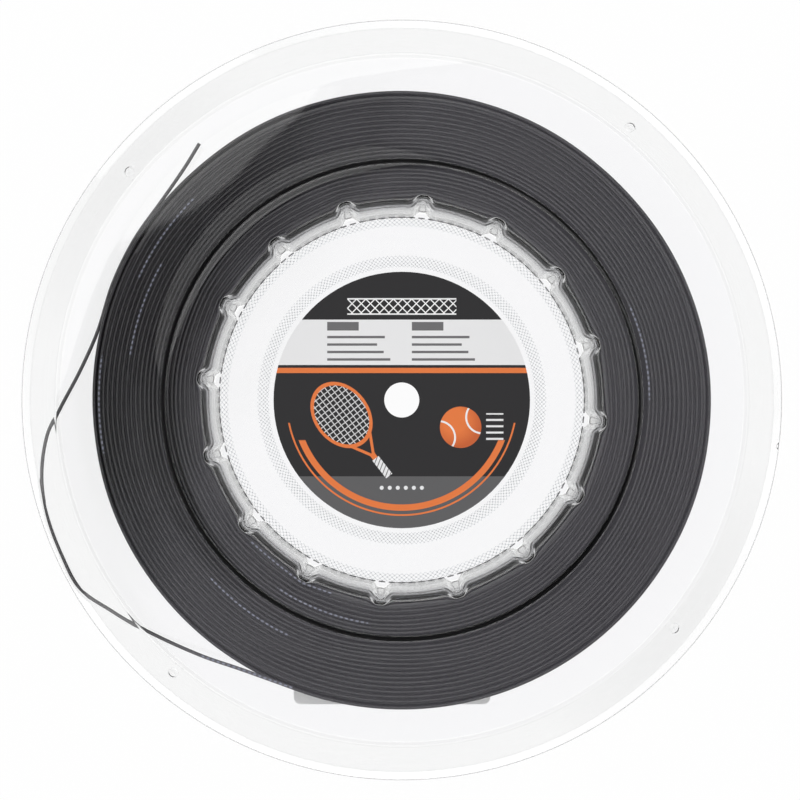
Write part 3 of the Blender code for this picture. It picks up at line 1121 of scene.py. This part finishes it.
@dataclass
class WeldKnurl:
    """Two rings of crossed ridges that the welding tool pressed into each web, and its edge line: a
    pressed fold darkened with painted shade.
    """

    surface: float = 0.00096
    height: float = 0.00005
    width: float = 0.00020
    inner_band: KnurlBand = KnurlBand(0.0464, 0.0503, 220, 3.0)
    outer_band: KnurlBand = KnurlBand(0.0606, 0.0634, 232, 2.0)
    edge: KnurlBand = KnurlBand(0.0637, 0.0637, 116, 0.0)
    edge_share: float = 0.66
    edge_surface: float = 0.0017
    edge_height: float = 0.00040
    edge_width: float = 0.00036
    sharp_degrees: float = 10.0
    finish: WeldFinish = WeldFinish()
    # The edge line's dark tint is painted shade along the pressed fold.
    edge_shade_finish: WeldFinish = WeldFinish(tint=(0.30, 0.30, 0.31, 1.0))

    @staticmethod
    def prisms(ends: np.ndarray, surface: float, height: float, width: float) -> np.ndarray:
        """Corners of ridges whose section is a low triangle: left foot, crest and right foot.

        Args:
            ends: Ridges by two ends by radius and angle.
            surface: Height at which the feet stand.
            height: Height of the crest over the feet.
            width: Width between the feet.

        Returns:
            Points, as ridges by ends by three corners by three.
        """
        centre = around(ends[..., 0], ends[..., 1], np.full(ends.shape[:2], surface))
        along = unit(centre[:, 1] - centre[:, 0])
        side = np.cross(along, (0.0, 0.0, 1.0))[:, None] * (width / 2)
        crest = centre + np.array([0.0, 0.0, height])
        return np.stack([centre - side, crest, centre + side], axis=2)

    @staticmethod
    def joined(prisms: np.ndarray, face: Face) -> Surface:
        """All ridges of a set, on one face.

        Args:
            prisms: Points, as ridges by ends by three corners by three.
            face: Which face.

        Returns:
            The ridges, each closed all round.
        """
        points = prisms * (1.0, 1.0, face.value)
        base = np.arange(len(points))[:, None] * 6
        sides = np.array([[0, 3, 4, 1], [1, 4, 5, 2], [2, 5, 3, 0]])
        quads = (base[:, None] + sides[None]).reshape(-1, 4)
        ends = (base[:, None] + np.array([[0, 1, 2], [5, 4, 3]])[None]).reshape(-1, 3)
        return Surface(points.reshape(-1, 3), quads, ends)

    def build(self) -> None:
        """Make the ridges of both webs and the broken line at their edge, whose dark tint is painted
        shade.
        """
        dulled = self.finish.material("weld_knurl")
        pressed = self.edge_shade_finish.material("weld_edge_shade")
        bands = [self.prisms(band.ridges(side), self.surface, self.height, self.width)
                 for band in (self.inner_band, self.outer_band) for side in (-1, 1)]
        ridges = np.concatenate(bands)
        dashes = self.edge.dashes(self.edge_share)
        line = self.prisms(dashes, self.edge_surface, self.edge_height, self.edge_width)
        for face in Face:
            for prisms, part, finish in ((ridges, "weld_knurl", dulled), (line, "weld_edge_shade", pressed)):
                name = f"{face.name.lower()}_{part}"
                self.joined(prisms, face).build(name, finish, Slot.CLEAR_SHEET, self.sharp_degrees)


@dataclass
class Winding:
    """The wound string: a packed middle and the turns that show on the faces, inside and outside."""

    string_radius: float = 0.000625
    half_width: float = 0.0095
    bore_radius: float = 0.0708
    belly: float = 0.0020
    outer_radius: float = 0.10739
    groove_radius: float = 0.0831
    groove_half_width: float = 0.0016
    groove_depth: float = 0.0055
    groove_reach: float = 0.0023
    groove_edge: float = 0.0008
    groove_fade: float = 0.004
    straight_fade: float = 0.0035
    side_pitch: float = 0.00162
    layer_pitch: float = 0.00130
    points_per_turn: int = 208
    sides: int = 8
    bore_points_per_turn: int = 384
    bore_sides: int = 6
    loose_angle: float = math.radians(250.0)
    lead_out: float = 0.00153
    last_height: float = 0.008854
    slack_angle: float = math.radians(45.0)
    slack_spread: float = math.radians(30.0)
    slack_depth: float = 0.0009
    swell_angle: float = math.radians(150.0)
    swell_spread: float = math.radians(15.0)
    swell_height: float = 0.0005
    packed_rows: int = 150
    packed_columns: int = 256
    packed_ridge: float = 0.00018
    packed_bulge: float = 0.0004
    wander: float = 0.00028
    dip: float = 0.00030
    drift: Pair = (0.12, 0.45)
    unrest_gain: float = 1.6
    face_waves: tuple[int, ...] = (1, 2, 3, 4, 6, 9)
    dip_waves: tuple[int, ...] = (2, 3, 4, 6, 11)
    outer_waves: tuple[int, ...] = (2, 3, 5, 8, 13)
    face_seed: int = 5
    dip_seed: int = 15
    outer_seed: int = 21
    finish: StringFinish = StringFinish()

    def settled(self, angle: np.ndarray, radius: np.ndarray) -> np.ndarray:
        """Radius of a turn at an angle, after it has settled on what lies under it.

        Between two ribs the inner turns run straight, r cos(p/2) / cos(offset from midway), which
        fades outwards over a few millimetres. On the slack side the outer turns sit lower, by a bell
        curve, and under the loose end they sit a little higher.

        Args:
            angle: Angles about the hub.
            radius: Radii of the turn on a round reel.

        Returns:
            The settled radii.
        """
        midway = np.mod(angle - RIBS.first, RIBS.pitch) - RIBS.pitch / 2
        straight = radius * (math.cos(RIBS.pitch / 2) / np.cos(midway) - 1.0)
        fade = np.exp(-np.clip(radius - self.bore_radius, 0.0, None) / self.straight_fade)
        share = np.clip((radius - self.bore_radius) / (self.outer_radius - self.bore_radius), 0.0, 1.0)
        slack = np.exp(-((wrapped(angle - self.slack_angle) / self.slack_spread) ** 2))
        swell = np.exp(-((wrapped(angle - self.swell_angle) / self.swell_spread) ** 2))
        uneven = self.swell_height * swell - self.slack_depth * slack
        return radius + straight * fade + uneven * share ** 1.5

    def unrest(
        self, angle: np.ndarray, radius: np.ndarray, seed: int, waves: tuple[int, ...]
    ) -> np.ndarray:
        """Slow variation round the reel: the mean of sin(n a + p + d r) over a few whole numbers n.

        Args:
            angle: Angles about the hub, a.
            radius: Radii, r. Each sine drifts with them, by so many radians for each turn.
            seed: Number from which the random phases p and drifts d are drawn.
            waves: The whole numbers n, in waves for each turn.

        Returns:
            Numbers from about -1 to 1.
        """
        random = np.random.default_rng(seed)
        phase = random.uniform(0.0, 2 * math.pi, len(waves))
        drift = random.uniform(*self.drift, len(waves)) * random.choice([-1.0, 1.0], len(waves))
        drift = drift / self.side_pitch
        terms = [np.sin(n * angle + p + d * radius) for n, p, d in zip(waves, phase, drift)]
        return np.mean(terms, axis=0) * self.unrest_gain

    def parted(self, radius: np.ndarray) -> np.ndarray:
        """Move turns out of the groove under the flange's step: r + w tanh(x / e) exp(-|x| / f).

        Args:
            radius: Radii r of evenly laid turns, which lie x from the groove's middle.

        Returns:
            The radii beside the groove.
        """
        away = radius - self.groove_radius
        pushed = np.tanh(away / self.groove_edge) * np.exp(-np.abs(away) / self.groove_fade)
        return radius + self.groove_half_width * pushed

    def face_turns(self, face: Face) -> Surface:
        """The spiral of turns against one flange.

        The radius grows by one side pitch a turn, clockwise seen from the front, plus the settling and
        the wander. Here and there the string dips away from the flange.

        Args:
            face: Which flange.

        Returns:
            The string as a tube.
        """
        inner = self.bore_radius + 2.4 * self.string_radius
        outer = self.outer_radius - self.string_radius - self.side_pitch
        turns = (outer - inner) / self.side_pitch
        share = np.linspace(0.0, 1.0, int(turns * self.points_per_turn))
        angle = self.loose_angle - 2 * math.pi * turns * share
        radius = self.parted(inner + (outer - inner) * share)
        calm = np.clip(np.minimum(share, 1.0 - share) * 12.0, 0.0, 1.0)
        unrest = self.unrest(angle, radius, self.face_seed + face.value, self.face_waves)
        moved = self.wander * calm * unrest
        unrest = self.unrest(angle, radius * 2.3, self.dip_seed + face.value, self.dip_waves)
        low = self.dip * (0.5 + 0.5 * unrest)
        height = self.half_width - self.string_radius - np.clip(low, 0.0, None)
        path = around(self.settled(angle, radius) + moved, angle, face.value * height)
        return string_tube(path, self.string_radius, self.sides, np.array([0.0, 0.0, face.value]))

    def outer_turns(self) -> Surface:
        """The outermost layer: a helix from the rear flange to the front, straight at the loose end.

        Returns:
            The string as a tube.
        """
        radius = self.outer_radius - self.string_radius
        turns = 2 * self.last_height / self.layer_pitch
        back = np.linspace(turns, 0.0, int(turns * self.points_per_turn))
        angle = self.loose_angle + 2 * math.pi * back
        height = self.last_height - self.layer_pitch * back
        calm = np.clip(back * 3.0, 0.0, 1.0)
        unrest = self.unrest(angle, radius + height * 3.0, self.outer_seed, self.outer_waves)
        moved = 0.5 * self.wander * calm * unrest
        path = around(self.settled(angle, np.full_like(angle, radius)) + moved, angle, height)
        heading = np.array([math.sin(self.loose_angle), -math.cos(self.loose_angle), 0.0])
        path = np.concatenate([path, path[-1] + heading * self.lead_out * np.array([[0.5], [1.0]])])
        return string_tube(path, self.string_radius, self.sides, unit(path * (1.0, 1.0, 0.0)))

    def bore_turns(self) -> Surface:
        """The innermost layer: a helix round the rib tops, which bellies in between two ribs.

        The belly is b (1 - |z / half width|^3) times the share between the ribs.

        Returns:
            The string as a tube.
        """
        reach = self.half_width - self.string_radius
        turns = 2 * reach / self.layer_pitch
        share = np.linspace(0.0, 1.0, int(turns * self.bore_points_per_turn))
        angle = -2 * math.pi * turns * share
        height = reach * (2 * share - 1)
        belly = self.belly * RIBS.between(angle) * (1.0 - np.abs(height / self.half_width) ** 3)
        radius = np.full_like(angle, self.bore_radius + self.string_radius)
        path = around(self.settled(angle, radius) - belly, angle, height)
        return string_tube(path, self.string_radius, self.bore_sides, -unit(path * (1.0, 1.0, 0.0)))

    def packed_middle(self) -> Surface:
        """The string under the visible turns, as a ring.

        Its faces have a low ridge for each turn, h |sin| over a pitch, and the groove as a notch with
        straight sides.

        Returns:
            The ring, closed round its section.
        """
        deep = self.half_width - 1.5 * self.string_radius - self.dip
        first = self.bore_radius + 1.2 * self.string_radius
        last = self.outer_radius - 3.0 * self.string_radius
        out = np.linspace(first, last, self.packed_rows)
        ridge = self.packed_ridge * (np.abs(np.sin(math.pi * (out - first) / self.side_pitch)) - 1.0)
        notch = np.clip(1.0 - np.abs(out - self.groove_radius) / self.groove_reach, 0.0, None)
        front = np.stack([out, deep + ridge - self.groove_depth * notch], axis=-1)
        bulge = np.array([[last + self.packed_bulge, 0.5 * deep]])
        section = np.concatenate([front, bulge, bulge * (1.0, -1.0), front[::-1] * (1.0, -1.0)])
        columns = self.packed_columns
        angle = np.arange(columns)[None] * (2 * math.pi / columns)
        radius = self.settled(np.broadcast_to(angle, (len(section), columns)), section[:, :1])
        points = around(radius, angle, section[:, 1:])
        return Surface(points.reshape(-1, 3), lattice(len(section), columns, True, True))

    def build(self) -> None:
        """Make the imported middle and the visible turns."""
        plain = self.finish.material("packed_string", False)
        printed = self.finish.material("wound_string", True)
        middle = self.packed_middle().build("packed_string", plain, Slot.STRING, 60.0)
        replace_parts(middle, "winding_core")
        outside = self.outer_turns().build("outer_turns", printed, Slot.STRING, 60.0)
        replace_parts(outside, "winding_outer_layer")
        self.bore_turns().build("bore_turns", printed, Slot.STRING, 65.0)
        for face in Face:
            name = f"{face.name.lower()}_face_turns"
            self.face_turns(face).build(name, printed, Slot.STRING, 60.0)


@dataclass
class LooseEnd:
    """The last turn, sprung out of the winding to the rim and back, with its cut end."""

    exit: Point = (-0.03797, -0.09980, 0.00885)
    leaving_angle: float = math.radians(250.0)
    straight_start: float = 0.0050
    diameter: float = 0.00125
    length: float = 0.2542
    sides: int = 12
    points_per_span: int = 14
    # Painted light: the same string as the winding, drawn lighter here than in the winding.
    finish: StringFinish = StringFinish(
        dark=(0.050, 0.048, 0.051, 1.0),
        light=(0.066, 0.064, 0.067, 1.0),
        low_roughness=0.28,
        high_roughness=0.40,
    )
    route: tuple[Point, ...] = (
        (-0.0558, -0.0934, 0.0087),
        (-0.0700, -0.0886, 0.0071),
        (-0.0882, -0.0806, 0.0036),
        (-0.1010, -0.0733, 0.0014),
        (-0.1122, -0.0655, 0.0003),
        (-0.1182, -0.0546, 0.0000),
        (-0.1233, -0.0408, 0.0000),
        (-0.1253, -0.0270, 0.0000),
        (-0.1236, -0.0130, 0.0002),
        (-0.1191, -0.0030, 0.0005),
        (-0.1122, 0.0100, 0.0010),
        (-0.1060, 0.0238, 0.0016),
        (-0.1006, 0.0407, 0.0022),
        (-0.0931, 0.0559, 0.0028),
        (-0.0835, 0.0694, 0.0034),
        (-0.0757, 0.0806, 0.0038),
        (-0.0704, 0.0892, 0.0040),
    )

    def path(self) -> np.ndarray:
        """A smooth line through the route.

        Each span is the cubic with end points P, Q and handles P + h and Q - k, where the handles
        follow the heading from the point before to the point after, over a third of the span.

        Returns:
            The points of the string's centre line.
        """
        start = np.array(self.exit)
        heading = np.array([math.sin(self.leaving_angle), -math.cos(self.leaving_angle), 0.0])
        knots = np.vstack([start, start + heading * self.straight_start, self.route])
        padded = np.vstack([2 * knots[0] - knots[1], knots, 2 * knots[-1] - knots[-2]])
        headings = unit(padded[2:] - padded[:-2])
        spans = np.linalg.norm(np.diff(knots, axis=0), axis=1)[:, None] / 3.0
        begin, end = knots[:-1, None], knots[1:, None]
        leave = begin + (headings[:-1] * spans)[:, None]
        arrive = end - (headings[1:] * spans)[:, None]
        t = np.linspace(0.0, 1.0, self.points_per_span, endpoint=False)[None, :, None]
        handles = 3 * t * (1 - t) ** 2 * leave + 3 * t ** 2 * (1 - t) * arrive
        curve = (1 - t) ** 3 * begin + handles + t ** 3 * end
        return np.vstack([curve.reshape(-1, 3), knots[-1]])

    def build(self) -> None:
        path = self.path()
        tube = string_tube(path, self.diameter / 2, self.sides, np.array([0.0, 0.0, 1.0]))
        piece = tube.build("loose_end", self.finish.material("loose_string", True), Slot.STRING, 60.0)
        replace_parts(piece, "loose_string_end")


@dataclass
class Papers:
    """The printed disc in the front recess and the sticker on the rear flange, both kept as solids."""

    label: LabelFinish = LabelFinish()
    sticker: PaperFinish = PaperFinish()

    def build(self) -> None:
        """Dress both solids."""
        for node, material, slot in (
            ("front_label", self.label.material(), Slot.LABEL_PRINT),
            ("rear_sticker", self.sticker.material(), Slot.STICKER_PAPER),
        ):
            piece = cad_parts[node]
            piece.data.materials.clear()
            piece.data.materials.append(material)
            LOG.info("%s: kept from the solids, on %s", node, BODY)


# The studio

@dataclass
class Studio:
    """Camera, floor, world and lamp.

    The tent pairs the Z of a direction with its light level. An axis is a direction in the plan, and
    the pairs named edge are a place and its softness.
    """

    camera_height: float = 1.6
    picture_width: float = 0.27816
    picture_plane: float = 0.005
    camera_x: float = -0.00062
    sensor: float = 36.0
    floor_size: float = 6.0
    floor_gap: float = 0.0002
    floor_grey: float = 0.82
    floor_shading: float = 0.04
    tent: tuple[Pair, ...] = (
        (0.0, 0.66),
        (0.24, 0.66),
        (0.46, 0.06),
        (0.76, 0.05),
        (0.82, 1.70),
        (0.965, 1.70),
        (0.988, 0.0),
        (1.0, 0.0),
    )
    bright_axis: Pair = (0.616, 0.788)
    bright_gain: float = 4.0
    ring_dimmest: float = 0.70
    ring_brightest: float = 1.6
    middle_edge: Pair = (0.982, 0.012)
    middle_level: float = 0.62
    middle_colour: Point = (0.99, 0.96, 1.08)
    dim_axis: Pair = (-0.906, 0.423)
    dim_edge: Pair = (0.0386, 0.0297)
    dim_depth: float = 0.54
    lamp_place: Point = (-0.62, 0.77, 1.90)
    lamp_size: float = 1.7
    lamp_power: float = 6.6

    def camera(self) -> None:
        """A camera straight above the hub, whose picture is as wide as the photograph's."""
        data = bpy.data.cameras.new("camera")
        data.sensor_width = self.sensor
        data.lens = self.sensor * (self.camera_height - self.picture_plane) / self.picture_width
        camera = bpy.data.objects.new("camera", data)
        camera.location = (self.camera_x, 0.0, self.camera_height)
        bpy.context.scene.collection.objects.link(camera)
        bpy.context.scene.camera = camera

    def floor(self) -> None:
        """A pale floor just under the reel, white to the camera and through the sheets."""
        graph = new_graph("floor")
        diffuse = graph.node("ShaderNodeBsdfDiffuse", {}, {"Color": grey(self.floor_grey)})
        glow = graph.node("ShaderNodeEmission", {}, {"Color": grey(1.0), "Strength": 1.0})
        white = graph.node("ShaderNodeBsdfDiffuse", {}, {"Color": grey(1.0)})
        shown = graph.node("ShaderNodeMixShader", {}, {0: self.floor_shading, 1: glow, 2: white})
        camera, glossy, through = graph.rays("Is Camera Ray", "Is Glossy Ray", "Is Transmission Ray")
        seen = (camera + glossy + through).capped()
        shader = graph.node("ShaderNodeMixShader", {}, {0: seen, 1: diffuse, 2: shown})
        half = self.floor_size / 2
        level = CAD_BOX[0].z - self.floor_gap
        corners = [(x * half, y * half, level) for x, y in ((-1, -1), (1, -1), (1, 1), (-1, 1))]
        mesh = bpy.data.meshes.new("floor")
        mesh.from_pydata(corners, [], [(0, 1, 2, 3)])
        mesh.materials.append(graph.finish(shader))
        floor = bpy.data.objects.new("floor", mesh)
        bpy.context.scene.collection.objects.link(floor)

    def world(self) -> None:
        """White to the camera, and otherwise a light tent.

        High up is a broad soft ring of light, with a dimmer middle where the camera stands. Below the
        ring is a dark band, and near the horizon are pale walls. The levels follow a direction's Z, and
        are scaled by d + g a^2 up to a limit, where a is how far the direction points along the bright
        axis. The middle darkens towards the upper left.
        """
        world = bpy.data.worlds.new("studio")
        graph = Graph(world)
        scale, add = {"operation": "SCALE"}, {"operation": "ADD"}
        x, y, z = graph.split(graph.node("ShaderNodeTexCoord", {}, {}, "Generated"))
        stops = [(height, grey(level)) for height, level in self.tent]
        ring = graph.node("ShaderNodeValToRGB", {"stops": stops}, {0: z}, "Color")
        along = x * self.bright_axis[0] + y * self.bright_axis[1]
        level = along * along * self.bright_gain + self.ring_dimmest
        level = level.math("MINIMUM", self.ring_brightest)
        ring = graph.node("ShaderNodeVectorMath", scale, {0: ring, "Scale": level})
        dim = (x * self.dim_axis[0] + y * self.dim_axis[1]).rises(*self.dim_edge)
        level = (self.middle_level - dim * self.dim_depth) * z.rises(*self.middle_edge)
        middle = graph.node("ShaderNodeVectorMath", scale, {0: self.middle_colour, "Scale": level})
        tent = graph.node("ShaderNodeVectorMath", add, {0: ring, 1: middle})
        colour = graph.mix(graph.rays("Is Camera Ray")[0], tent, grey(1.0))
        graph.finish(graph.node("ShaderNodeBackground", {}, {"Color": colour, "Strength": 1.0}))
        bpy.context.scene.world = world

    def lamp(self) -> None:
        """One large soft lamp from the upper left."""
        data = bpy.data.lights.new("soft_lamp", "AREA")
        data.shape = "DISK"
        data.size = self.lamp_size
        data.energy = self.lamp_power
        lamp = bpy.data.objects.new("soft_lamp", data)
        lamp.location = self.lamp_place
        x, y, z = self.lamp_place
        lamp.rotation_euler = math.atan2(math.hypot(x, y), z), 0.0, math.atan2(y, x) + math.pi / 2
        bpy.context.scene.collection.objects.link(lamp)

    def build(self) -> None:
        """Set up floor, world and lamp; the camera is made first, by main."""
        self.floor()
        self.world()
        self.lamp()
        bpy.context.scene.view_settings.view_transform = "Standard"


def main() -> None:
    """Build the camera, the loose end and then the rest of the reel and the studio."""
    logging.basicConfig(level=logging.INFO, format="%(name)s: %(message)s")
    studio = Studio()
    studio.camera()
    LooseEnd().build()
    ClearShell().build()
    WeldKnurl().build()
    Winding().build()
    Papers().build()
    studio.build()


if __name__ == "__main__":
    main()
